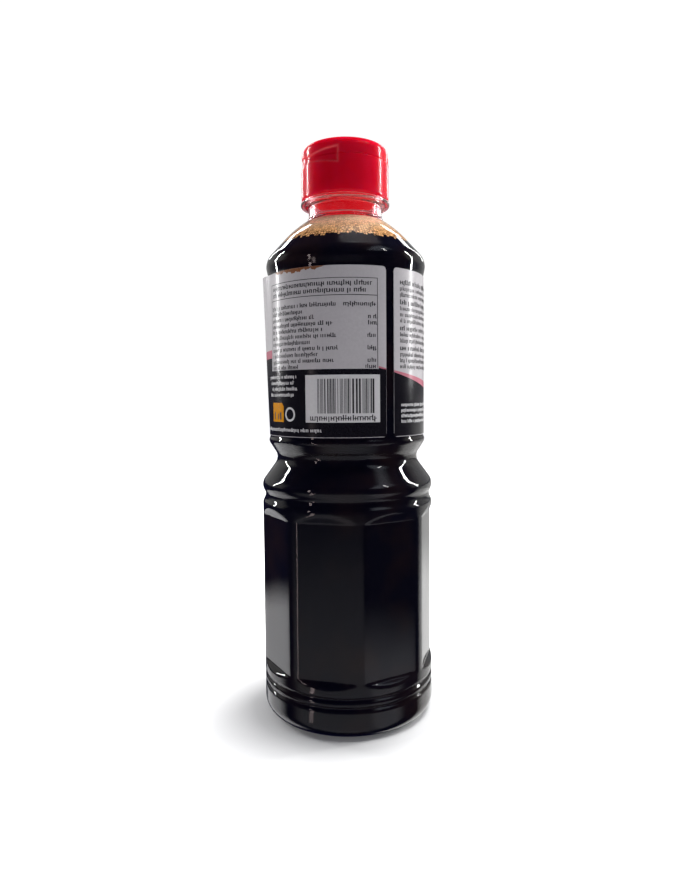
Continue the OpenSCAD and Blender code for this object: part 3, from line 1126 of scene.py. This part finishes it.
@dataclass
class Print:
    """What is printed on the film: fields of colour, rows of word-like strokes and a bar pattern.

    Lengths in a row of strokes are shares of its height. All random draws come from one generator.
    """

    sheet: LabelSheet
    layer: float = 0.014
    under: float = 0.05
    column_turn: float = 0.8
    stroke_spread: tuple[float, float] = (0.85, 1.15)
    word_gap: float = 0.62
    stroke_gap: tuple[float, float] = (0.16, 0.30)
    kinds: tuple[float, float, float] = (0.74, 0.18, 0.08)
    tail: float = 0.26
    small_h: float = 0.72
    dash_share: float = 0.72
    dash_gap: float = 0.4
    dash_zs: tuple[float, float, float] = (0.0, 0.29, 0.58)
    dash_h: float = 0.14
    bar_count: int = 64
    bar_units: tuple[float, float, float] = (0.55, 0.3, 0.15)
    rng: np.random.Generator = field(default_factory=lambda: np.random.default_rng(5))

    def color_field(
        self, name: str, ink: Material, turns: tuple[float, float], low: Edge | float, high: Edge | float,
        level: int, rows: int,
    ) -> Piece:
        """A field of colour between two heights that may change with the angle.

        Args:
            name: the piece's name.
            ink: its finish.
            turns: its end angles.
            low, high: its lower and upper heights, numbers or functions of the angle.
            level: how many layers it lies over the film.
            rows: points up it.
        Returns:
            A closed slab as thin as ink, its columns under a degree wide.
        """
        first, last = turns
        theta = np.linspace(first, last, max(2, math.ceil((last - first) / self.column_turn)) + 1)
        bottom = low(theta) if callable(low) else np.full(theta.shape, low)
        top = high(theta) if callable(high) else np.full(theta.shape, high)
        share = np.linspace(0, 1, rows)[None, :]
        z = bottom[:, None] + np.maximum(top - bottom, 0.02)[:, None] * share
        over = self.sheet.place(theta[:, None], z, level * self.layer)
        under = self.sheet.place(theta[:, None], z, -self.under)
        return slab(over, under).to_object(name, ink, Slot.LABEL)

    def marks(self, name: str, ink: Material, boxes: Array, level: int) -> Piece:
        """Many small upright marks as one piece.

        Args:
            name: the piece's name.
            ink: its finish.
            boxes: (n, 4), each mark's first and last angle and low and high height.
            level: how many layers they lie over the film.
        Returns:
            One mesh of closed boxes, six faces to a mark.
        """
        t0, t1, z0, z1 = boxes.T
        theta = np.stack([t0, t1, t1, t0], -1)
        z = np.stack([z0, z0, z1, z1], -1)
        over = self.sheet.place(theta, z, level * self.layer)
        under = self.sheet.place(theta, z, -self.under)
        points = np.concatenate([over, under], 1).reshape(-1, 3)
        six = [[0, 1, 2, 3], [7, 6, 5, 4], [0, 4, 5, 1], [1, 5, 6, 2], [2, 6, 7, 3], [3, 7, 4, 0]]
        faces = (8 * np.arange(len(boxes))[:, None, None] + np.array(six)).reshape(-1, 4)
        return Mesh(points, [faces]).to_object(name, ink, Slot.LABEL)

    def words(
        self, first: float, last: float, z: float, height: float, stroke: float = 0.23, word: float = 11.0
    ) -> Array:
        """A row of word-like hatching: upright strokes of three kinds, some with a short dash after them.

        Args:
            first, last: the row's end angles.
            z: its base line.
            height: the height of its tallest strokes.
            stroke: a stroke's width as a share of that height.
            word: the mean number of strokes in a word.
        Returns:
            (n, 4) boxes for marks().
        """
        length = math.radians(last - first) * self.sheet.outer_r
        count = math.ceil(length / (height * stroke * 2)) + 4
        size = height * stroke * self.rng.uniform(*self.stroke_spread, count)
        ends_word = self.rng.random(count) < 1 / word
        space = np.where(ends_word, self.word_gap, self.rng.uniform(*self.stroke_gap, count)) * height
        start = np.concatenate([[0], np.cumsum(size + space)[:-1]])
        kind = self.rng.choice(3, count, p=self.kinds)
        low = z - np.where(kind == 2, self.tail, 0.0) * height
        high = z + np.where(kind == 1, 1.0, self.small_h) * height
        keep = start + size <= length
        dash = keep & (space < self.dash_gap * height) & (self.rng.random(count) < self.dash_share)
        dash[-1] = False
        at = z + self.rng.choice(self.dash_zs, count) * height
        turn = self.sheet.turn_of(1.0)
        left, right = first + start * turn, first + (start + size) * turn
        after = first + (start + size + space) * turn
        strokes = np.column_stack([left, right, low, high])[keep]
        dashes = np.column_stack([right, after, at, at + self.dash_h * height])[dash]
        return np.concatenate([strokes, dashes])

    def bars(self, first: float, last: float, low: float, high: float) -> Array:
        """A plain pattern of upright bars, one to three units wide, with like gaps; it is no code.

        Args:
            first, last: its end angles.
            low, high: its heights.
        Returns:
            (n, 4) boxes for marks().
        """
        widths = self.rng.choice([1, 2, 3], self.bar_count, p=self.bar_units)
        edges = np.concatenate([[0], np.cumsum(widths)])
        at = first + (last - first) * edges / edges[-1]
        t0, t1 = at[:-1:2], at[1::2]
        return np.column_stack([t0, t1, np.full(len(t0), low), np.full(len(t0), high)])


@dataclass
class LabelPrint:
    """The layout on the film, in angles and heights. A table row is (last angle, width of its value or 0)."""

    sheet: LabelSheet
    end_w: float = 0.1
    ribbon_mid_z: float = 159.3
    ribbon_wave: float = 8.0
    ribbon_turn: float = -60.0
    twist_turn: float = 28.0
    panel: tuple[float, float] = (-65.5, 21.6)
    panel_top_z: float = 197.6
    panel_mid_z: float = 190.5
    panel_low_z: float = 159.6
    rule_w: float = 0.28
    stain: tuple[float, float] = (-60.0, -13.0)
    table_z: float = 185.9
    row_step: float = 2.6
    row_h: float = 1.85
    head_h: float = 2.1
    head_rows: tuple[tuple[float, float], ...] = ((194.5, 4.0), (191.6, 7.0))
    table_rows: tuple[tuple[float, float], ...] = (
        (-6.0, 22.0), (-30.0, 0), (-22.0, 5.5), (-9.0, 5.5), (-16.0, 0), (-6.0, 6.0),
        (-24.0, 0), (-5.0, 6.0), (-20.0, 0), (-8.0, 6.0), (-34.0, 7.5),
    )
    bar_box: tuple[float, float, float, float] = (-28.9, 22.9, 137.0, 157.2)
    tag: tuple[float, float, float, float] = (-65.5, -49.7, 137.0, 145.4)
    tag_parts: tuple[tuple[float, float, float, float], ...] = (
        (0.15, 0.62, 0.80, 0.84), (0.15, 0.45, 0.68, 0.71), (0.18, 0.28, 0.12, 0.5),
        (0.18, 0.6, 0.12, 0.18), (0.52, 0.6, 0.12, 0.42), (0.7, 0.82, 0.12, 0.5),
    )
    ring: tuple[float, float, float] = (-42.9, 140.4, 2.7)
    ring_half_w: float = 0.42
    ring_marks: int = 24
    side_blocks: tuple[tuple[float, float], ...] = ((39.7, 104.0), (112.0, 165.0), (-155.0, -104.0))
    side_top_z: float = 195.9
    side_gap: float = 0.7

    def ribbon_z(self, theta: Array) -> Array:
        """Middle of the pink ribbon: one slow wave round the bottle."""
        return self.ribbon_mid_z + self.ribbon_wave * np.cos(np.radians(theta - self.ribbon_turn))

    def ribbon_half(self, theta: Array) -> Array:
        """Half the ribbon's width: it twists to nothing at the right of the front."""
        return 0.25 + 1.6 * np.abs(np.sin(np.radians(theta - self.twist_turn)))

    def stain_depth(self, theta: Array) -> Array:
        """Depth of the sauce soaked into the film's upper edge.

        Args:
            theta: angles along the edge.
        Returns:
            The depth at each: three waves that wander with the angle and fade at the stain's two ends.
        """
        wander = 1.35 + 0.45 * np.sin(theta * 0.31 + 0.5) + 0.35 * np.sin(theta * 1.1)
        wander = wander + 0.22 * np.sin(theta * 2.7 + 1)
        return np.maximum(0.03, wander * smooth_step(-60, -52, theta) * (1 - smooth_step(-24, -13, theta)))

    def inks(self) -> dict[str, Material]:
        """The inks, each a film of its own colour.

        Returns:
            Their materials by a short name.
        """
        films = {
            "black": Film("ink_black", (0.009, 0.008, 0.011)),
            "text": Film("ink_text", (0.030, 0.027, 0.030), 0.3),
            "paper": Film("ink_paper", self.sheet.color),
            "white": Film("ink_white", (0.72, 0.71, 0.71)),
            "pink": Film("ink_pink", (0.55, 0.19, 0.24)),
            "orange": Film("ink_orange", (0.68, 0.27, 0.0)),
            "stain": Film("sauce_stain", (0.30, 0.125, 0.055), 0.3, 0.4),
        }
        return {name: film.make() for name, film in films.items()}

    def build(self) -> None:
        """Prints the fields, the table, the rows and the bars, from the lowest layer up."""
        ink, art, form = self.inks(), Print(self.sheet), self.sheet.form
        first, last = self.sheet.ends()
        whole = (first + self.end_w, last - self.end_w)
        left, right = self.panel
        top = form.label_top_z - 0.05

        def ribbon_edge(share: float) -> Edge:
            """The height at that share of half the ribbon's width from its middle."""
            return lambda theta: self.ribbon_z(theta) + share * self.ribbon_half(theta)

        def stain_edge(theta: Array) -> Array:
            """The stain's lower edge."""
            return top - self.stain_depth(theta)

        art.color_field("print_dark", ink["black"], whole, form.label_low_z + 0.22, ribbon_edge(-0.6), 1, 30)
        art.color_field("print_ribbon", ink["pink"], whole, ribbon_edge(-1), ribbon_edge(1), 2, 8)
        panel, panel_top = (left - 1.2, right + 0.5), self.panel_top_z + self.sheet.corner
        art.color_field("print_panel", ink["paper"], panel, self.panel_low_z, panel_top, 3, 30)
        art.color_field("stain_edge", ink["stain"], self.stain, stain_edge, top, 4, 4)
        self.table(art, ink["text"])
        self.lower(art, ink)
        self.side_text(art, ink)

    def table(self, art: Print, ink: Material) -> None:
        """The ruled frame, its two heading rows and the rows under them with a column of short values.

        Args:
            art: what prints them.
            ink: their finish.
        """
        left, right = self.panel
        turn = self.sheet.turn_of(self.rule_w)
        for name, z in (("top", self.panel_top_z), ("middle", self.panel_mid_z)):
            art.color_field(f"rule_{name}", ink, self.panel, z - self.rule_w, z, 5, 2)
        low, top = self.panel_low_z + 0.4, self.panel_top_z
        for name, at in (("left", left), ("right", right - turn)):
            art.color_field(f"rule_{name}", ink, (at, at + turn), low, top, 5, 30)
        rows = [art.words(left + 3.0, right - short, z, self.head_h) for z, short in self.head_rows]
        for k, (stop, value_w) in enumerate(self.table_rows):
            z = self.table_z - self.row_step * k
            rows.append(art.words(left + 1.8, stop, z, self.row_h))
            if value_w:
                rows.append(art.words(right - 1.4 - value_w, right - 1.0, z, self.row_h))
        art.marks("print_table", ink, np.concatenate(rows), 5)

    def lower(self, art: Print, ink: dict[str, Material]) -> None:
        """The dark field's white rows, the bar pattern in its box, the tag, the ring and the foot line.

        Args:
            art: what prints them.
            ink: the inks by name.
        """
        rows = [art.words(-71.0 + 2 * k % 5, -36.0 - 3.0 * (k % 2), 156.0 - 2.6 * k, 1.6) for k in range(4)]
        rows.append(art.words(-79.5, -17.3, 132.9, 1.6))
        art.marks("print_white_rows", ink["white"], np.concatenate(rows), 3)
        left, right, low, high = self.bar_box
        art.color_field("bar_box", ink["white"], (left, right), low, high, 3, 4)
        art.marks("bar_pattern", ink["text"], art.bars(left + 9, right - 3.3, low + 3.9, high - 1.7), 4)
        art.marks("bar_digits", ink["text"], art.words(left + 3.5, right - 2.0, low + 0.9, 2.4, 0.2), 4)
        self.orange_tag(art, ink)
        self.plain_ring(art, ink["white"])

    def orange_tag(self, art: Print, ink: dict[str, Material]) -> None:
        """The tag, its upper right corner cut off by a slope, with plain dark bars on it.

        Args:
            art: what prints it.
            ink: the inks by name.
        """
        left, right, low, high = self.tag
        wide, tall = right - left, high - low

        def upper_edge(theta: Array) -> Array:
            """The tag's height, falling off near its right end."""
            return np.minimum(high, high + 1.6 - 0.8 * (theta - right + 4))

        art.color_field("orange_tag", ink["orange"], (left, right), low, upper_edge, 3, 8)
        parts = np.array(self.tag_parts) * (wide, wide, tall, tall) + (left, left, low, low)
        art.marks("tag_marks", ink["text"], parts, 4)

    def plain_ring(self, art: Print, ink: Material) -> None:
        """A ring of small square marks.

        Args:
            art: what prints it.
            ink: its finish.
        """
        at, z, radius = self.ring
        turn = np.radians(np.linspace(0, 360, self.ring_marks + 1)[:-1])
        half = self.sheet.turn_of(self.ring_half_w)
        middle = at + self.sheet.turn_of(radius * np.cos(turn))
        height = z + radius * np.sin(turn)
        sides = (middle - half, middle + half, height - self.ring_half_w, height + self.ring_half_w)
        art.marks("plain_ring", ink, np.column_stack(sides), 3)

    def side_text(self, art: Print, ink: dict[str, Material]) -> None:
        """Paragraphs on the film's sides: bold first rows, plain ones under them, white on the dark field.

        Args:
            art: what prints them.
            ink: the inks by name.
        """
        dark, light = [], []
        for start, stop in self.side_blocks:
            z, foot = self.side_top_z, float(self.ribbon_z(np.linspace(start, stop, 9)).max()) + 2.0
            for block in range(5):
                for k in range(3 + block % 2):
                    height, stroke = (2.1, 0.28) if k == 0 else (1.8, 0.2)
                    if z > foot:
                        dark.append(art.words(start, stop - 7 * ((k + block) % 3), z, height, stroke))
                    z -= self.row_step
                z -= self.side_gap
            light += [art.words(start + 1, stop - 5 * (k % 2), 143.6 - 2.4 * k, 1.5) for k in range(4)]
        art.marks("side_rows", ink["text"], np.concatenate(dark), 3)
        art.marks("side_white_rows", ink["white"], np.concatenate(light), 3)


# ---------------------------------------------------------------- the cap


@dataclass
class Cap:
    """The flip-top cap: base, parting line, lid, butterfly hinge and thumb guard as one closed shell."""

    form: BottleForm
    low_z: float = field(default_factory=lambda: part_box("cap")[0].z / MM)
    top_z: float = field(default_factory=lambda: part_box("cap")[1].z / MM)
    r: float = field(default_factory=lambda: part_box("cap")[1].x / MM)
    edge: float = 0.6
    bore_r: float = 17.45
    lid_h: float = 7.8
    lid_step: float = 0.3
    lid_round: float = 3.0
    line_h: float = 0.4
    line_d: float = 0.4
    line_half_w: float = 0.24
    hinge_turn: float = -53.0
    hinge_half_w: float = 14.0
    hinge_end_h: float = 6.7
    hinge_mid_h: float = 2.6
    hinge_d: float = 0.7
    hinge_mid_share: float = 0.55
    hinge_edge: float = 0.15
    # width of the band of painted highlight along the hinge pocket's edge
    painted_highlight_w: float = 0.45
    guard_turn: float = 127.0
    guard_half: float = 48.0
    guard_h: float = 3.2
    guard_d: float = 0.25
    guard_edge_turn: float = 1.2
    guard_edge_h: float = 0.2
    row_gap: float = 0.9
    fine_row_gap: float = 0.16
    fine_half_h: float = 4.2
    hidden_row_gap: float = 1.1
    axis_r: float = 0.5
    columns: int = 480

    @property
    def part_z(self) -> float:
        """Height of the parting line's foot."""
        return self.top_z - self.lid_h

    def line(self) -> Array:
        """The section: from the deck's middle down the bore, round the lower edge, up the side, over the lid.

        Returns:
            Its points, (n, 2), with every corner softened.
        """
        lid_r = self.r - self.lid_step
        deck_z = self.form.rim_z
        low = [
            np.array([[self.axis_r, deck_z], [self.bore_r, deck_z], [self.bore_r, self.low_z]]),
            arc(self.r - self.edge, self.low_z + self.edge, self.edge, -90, 0),
        ]
        high = [
            np.array([[self.r, self.part_z], [lid_r, self.part_z + self.line_h]]),
            arc(lid_r - self.lid_round, self.top_z - self.lid_round, self.lid_round, 0, 90),
            np.array([[self.axis_r, self.top_z]]),
        ]
        return soften(np.concatenate([*low, *high]), self.form.fine_blur, self.form.fine_gap)

    def rows(self) -> Array:
        """The section's points, close together beside the parting line.

        Returns:
            The rows' radii and heights, (n, 2).
        """
        line = self.line()
        r, z = line.T
        side = (r > self.bore_r + 0.5) & (z > self.low_z + 0.3)
        near = side * np.exp(-(((z - self.part_z) / self.fine_half_h) ** 4))
        gaps = np.where(side, self.row_gap - (self.row_gap - self.fine_row_gap) * near, self.hidden_row_gap)
        return spread(line, gaps)

    def guard(self, theta: Array, z: Array) -> tuple[Array, Array]:
        """The thumb guard: a band round the front of the lid's foot, with soft ends and edges.

        Args:
            theta: the columns' angles.
            z: the rows' heights, (rows, 1).
        Returns:
            The band's share by column, and how far it stands over the lid at each row and column.
        """
        inside = self.guard_half - np.abs(off_turn(theta, self.guard_turn))
        band = smooth_step(-self.guard_edge_turn, self.guard_edge_turn, inside)[None, :]
        top_z = self.part_z + self.guard_h
        over = smooth_step(self.part_z, self.part_z + self.guard_edge_h, z)
        under = 1 - smooth_step(top_z - self.guard_edge_h, top_z, z)
        return band, self.guard_d * band * over * under

    def build(self) -> Piece:
        """Builds and dresses the cap.

        The side's radius is lowered by the parting line's groove, except at the thumb guard, and by the
        hinge's bow-tie pocket, whose height grows from its middle to its two ends. Two values go with it:
        stretch, a band beside the pocket's edge that carries a painted highlight, and bore, on the inside.

        Returns:
            The piece that stands for the cap.
        """
        rows = self.rows()
        theta = even_turns(self.columns)
        turn = np.radians(off_turn(theta, self.hinge_turn))[None, :]
        r, z = rows[:, :1], rows[:, 1:]
        outer = smooth_step(self.bore_r + 0.6, self.bore_r + 1.0, r)
        band, proud = self.guard(theta, z)
        line_z = self.part_z + self.line_h / 2
        dent = self.line_d * np.exp(-(((z - line_z) / self.line_half_w) ** 4)) * (1 - band)
        x = self.r * np.sin(turn)
        along = np.abs(x) / self.hinge_half_w
        half = (self.hinge_mid_h + (self.hinge_end_h - self.hinge_mid_h) * along) / 2
        facing = np.cos(turn) > 0
        inside = np.minimum(half - np.abs(z - self.part_z), self.hinge_half_w - np.abs(x))
        pocket = smooth_step(-self.hinge_edge, self.hinge_edge, inside) * facing
        # painted highlight: stretch is a band along the pocket's edge, where the cap material paints pale
        # pink
        stretch = np.exp(-((inside / self.painted_highlight_w) ** 2)) * facing * outer
        hollow = self.hinge_d * pocket * (self.hinge_mid_share + (1 - self.hinge_mid_share) * along)
        radii = r + outer * (proud - dent * (1 - pocket) - hollow)
        bore = (1 - outer) * (z < self.form.rim_z + 0.5)
        values = {"stretch": stretch + 0 * radii, "bore": bore + 0 * radii}
        mesh = turned(around(theta[None, :], radii, z), self.form.rim_z, self.top_z, values)
        piece = mesh.to_object("cap_shell", RedPlastic().make(), Slot.CAP, 60)
        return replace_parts(piece, "cap")


# ---------------------------------------------------------------- the studio


@dataclass(frozen=True)
class Patch:
    """A soft patch of light in the room: its colour, and where it lies, as steps along axes of direction."""

    color: Color
    steps: tuple[tuple[str, float, float], ...]


@dataclass(frozen=True)
class Lamp:
    """A soft rectangular light that faces the bottle.

    turn and rise give its direction from the bottle's middle, round from the front and up; away is its
    distance, and size its width and height, in metres; glow is the light that its face gives off; mirrored
    says whether glossy surfaces show it.
    """

    name: str
    turn: float
    rise: float
    away: float
    size: tuple[float, float]
    glow: float
    tint: Color = (1, 1, 1)
    mirrored: bool = True
    aim_z: float = 0.16

    def build(self) -> None:
        """Sets the lamp in the scene, unseen by the camera."""
        data = bpy.data.lights.new(self.name, "AREA")
        data.shape, data.size, data.size_y = "RECTANGLE", *self.size
        data.energy = self.glow * math.pi * self.size[0] * self.size[1]
        data.color = self.tint
        lamp = bpy.data.objects.new(self.name, data)
        bpy.context.scene.collection.objects.link(lamp)
        a, e = math.radians(self.turn), math.radians(self.rise)
        aim = Vector((math.sin(a) * math.cos(e), -math.cos(a) * math.cos(e), math.sin(e)))
        lamp.location = Vector((0, 0, self.aim_z)) + aim * self.away
        lamp.rotation_mode = "QUATERNION"
        lamp.rotation_quaternion = aim.to_track_quat("Z", "Y")
        lamp.visible_camera = False
        lamp.visible_glossy = self.mirrored


PATCHES = (
    Patch((0.26, 0.26, 0.29), (("Y", -0.1, -0.4), ("Z", -0.12, -0.42), ("X", 0.55, 0.3))),
    Patch((0.45, 0.45, 0.50), (("Y", -0.1, -0.4), ("Z", -0.30, -0.40), ("X", 0.3, 0.55))),
    Patch((0.36, 0.36, 0.36), (("Y", -0.02, 0.22), ("Z", -0.03, 0.10), ("Z", 0.60, 0.36))),
    Patch((1.15, 1.15, 1.18), (("Y", 0.0, 0.3), ("X", -0.35, -0.55), ("Z", -0.265, -0.315))),
    Patch((0.70, 0.70, 0.69), (("Y", 0.2, 0.5), ("X", 0.15, 0.3), ("Z", 0.02, -0.05))),
    Patch((1.20, 1.20, 1.19), (("Y", 0.2, 0.5), ("X", 0.15, 0.3), ("Z", -0.20, -0.28))),
    Patch(
        (0.55, 0.60, 0.70),
        (("X", 0.42, 0.54), ("X", 0.80, 0.66), ("Z", 0.44, 0.60), ("Z", 0.92, 0.76), ("Y", 0.0, -0.2)),
    ),
    Patch(
        (2.2, 1.8, 1.8),
        (
            ("X", -0.655, -0.685), ("X", -0.745, -0.715), ("Y", -0.3, -0.45),
            ("Z", -0.12, -0.2), ("Z", -0.5, -0.4),
        ),
    ),
)

LAMPS = (
    Lamp("top_soft", 115, 78, 1.2, (0.55, 0.55), 23.0, mirrored=False),
    Lamp("side_left", -114, 20, 0.60, (0.026, 0.40), 40.0),
    Lamp("side_right", 105, 20, 0.60, (0.03, 0.40), 40.0),
    Lamp("back_left", -151, 35, 0.80, (0.06, 0.40), 9.0),
    Lamp("back_right", 150, 33, 0.80, (0.06, 0.44), 7.0),
    Lamp("soft_left", -132, 12, 0.80, (0.45, 0.60), 5.6, mirrored=False),
    Lamp("soft_right", 125, 12, 0.80, (0.45, 0.60), 5.6, mirrored=False),
    Lamp("front_left", -50, 3, 0.70, (0.045, 0.20), 3.0, (1.0, 0.84, 0.82)),
    Lamp("front_right", 62, 40, 0.70, (0.05, 0.12), 9.0),
    Lamp("front_fill", 5, -3, 0.80, (0.50, 0.16), 1.0, (1.0, 0.90, 1.0), mirrored=False),
)


@dataclass
class Studio:
    """Camera, pale floor and soft lights: a white page behind, a dark room in front, lamps on both sides."""

    room_dark: Color = (0.006, 0.007, 0.034)
    page_glow: float = 1.02
    camera_at: tuple[float, float, float] = (0.0, -0.31397, 0.14838)
    lens: float = 27.342
    pitch: float = 3.375
    yaw: float = -0.2655
    roll: float = -0.4388
    floor_half_w: float = 60.0
    floor_grey: Color = (0.62, 0.62, 0.62)
    # painted shadow round the bottle: the floor's glow rises from the first to the second glow value over
    # these distances from the axis
    painted_shadow_span: tuple[float, float] = (0.045, 0.11)
    floor_glow: tuple[float, float] = (0.08, 1.0)

    def camera(self) -> None:
        """The camera, from its place and three turns: down by pitch, sideways by yaw, round by roll."""
        data = bpy.data.cameras.new("view")
        data.lens, data.sensor_width, data.sensor_fit = self.lens, 36.0, "AUTO"
        data.clip_start, data.clip_end = 0.01, 200.0
        camera = bpy.data.objects.new("view", data)
        bpy.context.scene.collection.objects.link(camera)
        p, y, r = (math.radians(v) for v in (self.pitch, self.yaw, self.roll))
        forward = Vector((-math.sin(y) * math.cos(p), math.cos(y) * math.cos(p), -math.sin(p)))
        level = Vector((math.cos(y), math.sin(y), 0))
        over = Vector((-math.sin(y) * math.sin(p), math.cos(y) * math.sin(p), math.cos(p)))
        right = level * math.cos(r) + over * math.sin(r)
        up = over * math.cos(r) - level * math.sin(r)
        turn = Matrix((right, up, -forward)).transposed().to_4x4()
        camera.matrix_world = Matrix.Translation(self.camera_at) @ turn
        bpy.context.scene.camera = camera

    def world(self) -> None:
        """White to the eye; to the bottle, a dark room with patches of light, each a box of directions."""
        world = bpy.data.worlds.new("room")
        bpy.context.scene.world = world
        world.use_nodes = True
        tree = world.node_tree
        tree.nodes.clear()
        new, link = tree.nodes.new, tree.links.new
        split = new("ShaderNodeSeparateXYZ")
        link(new("ShaderNodeTexCoord").outputs["Generated"], split.inputs[0])

        def step(axis: str, low: float, high: float) -> Socket:
            """0 to 1 as a direction's part along the axis goes from low to high."""
            node = new("ShaderNodeMapRange")
            node.interpolation_type = "SMOOTHSTEP"
            link(split.outputs[axis], node.inputs[0])
            node.inputs[1].default_value, node.inputs[2].default_value = low, high
            return node.outputs[0]

        def product(a: Socket, b: Socket) -> Socket:
            """a times b."""
            node = new("ShaderNodeMath")
            node.operation = "MULTIPLY"
            link(a, node.inputs[0])
            link(b, node.inputs[1])
            return node.outputs[0]

        color = None
        for patch in PATCHES:
            tone = new("ShaderNodeMix")
            tone.data_type = "RGBA"
            tone.inputs[6].default_value = (*self.room_dark, 1)
            tone.inputs[7].default_value = (*patch.color, 1)
            link(reduce(product, [step(*part) for part in patch.steps]), tone.inputs[0])
            if color is not None:
                link(color, tone.inputs[6])
            color = tone.outputs[2]
        out, pick = new("ShaderNodeOutputWorld"), new("ShaderNodeMixShader")
        room, page = new("ShaderNodeBackground"), new("ShaderNodeBackground")
        link(color, room.inputs["Color"])
        page.inputs["Color"].default_value = (1.0, 1.0, 1.0, 1)
        page.inputs["Strength"].default_value = self.page_glow
        link(new("ShaderNodeLightPath").outputs["Is Camera Ray"], pick.inputs[0])
        link(room.outputs[0], pick.inputs[1])
        link(page.outputs[0], pick.inputs[2])
        link(pick.outputs[0], out.inputs["Surface"])

    def floor_paper(self) -> Material:
        """The floor's finish: grey paper that glows to the eye alone, with a painted shadow: little glow at
        the bottle and full glow beyond.

        Returns:
            The material.
        """
        nodes = Nodes("floor_paper")
        nodes.shade(Base_Color=self.floor_grey, Roughness=0.9, Specular_IOR_Level=0.0)
        glow, eye = nodes.add("ShaderNodeEmission"), nodes.add("ShaderNodeLightPath")
        total = nodes.add("ShaderNodeAddShader")
        strength = nodes.add("ShaderNodeMath", operation="MULTIPLY")
        away = nodes.add("ShaderNodeVectorMath", operation="LENGTH")
        nodes.link(nodes.place(), away.inputs[0])
        nodes.link(eye.outputs["Is Camera Ray"], strength.inputs[0])
        # painted shadow: less glow near the bottle darkens the floor round its foot
        nodes.link(nodes.span(away.outputs["Value"], *self.painted_shadow_span, *self.floor_glow), strength.inputs[1])
        nodes.link(strength.outputs[0], glow.inputs["Strength"])
        nodes.link(nodes.shader.outputs[0], total.inputs[0])
        nodes.link(glow.outputs[0], total.inputs[1])
        nodes.link(total.outputs[0], nodes.output.inputs["Surface"])
        return nodes.material

    def floor(self) -> None:
        """A wide plain sheet under the bottle that glossy surfaces don't mirror."""
        side = self.floor_half_w
        corners = [(-side, -side, 0), (side, -side, 0), (side, side, 0), (-side, side, 0)]
        mesh = bpy.data.meshes.new("floor")
        mesh.from_pydata(corners, [], [(0, 1, 2, 3)])
        floor = bpy.data.objects.new("floor", mesh)
        bpy.context.scene.collection.objects.link(floor)
        mesh.materials.append(self.floor_paper())
        floor.visible_glossy = False

    def build(self) -> None:
        """Sets the camera, the room, the floor and the lights."""
        bpy.context.scene.view_settings.view_transform = "Standard"
        self.camera()
        self.world()
        self.floor()
        for lamp in LAMPS:
            lamp.build()


def main() -> None:
    """Builds the bottle's pieces in order, then the studio."""
    logging.basicConfig(level=logging.INFO, format="%(message)s")
    form = BottleForm()
    Bottle(form).build()
    Sauce(form).build()
    Froth(form).build()
    sheet = LabelSheet(form)
    sheet.build()
    LabelPrint(sheet).build()
    Cap(form).build()
    Studio().build()


if __name__ == "__main__":
    main()
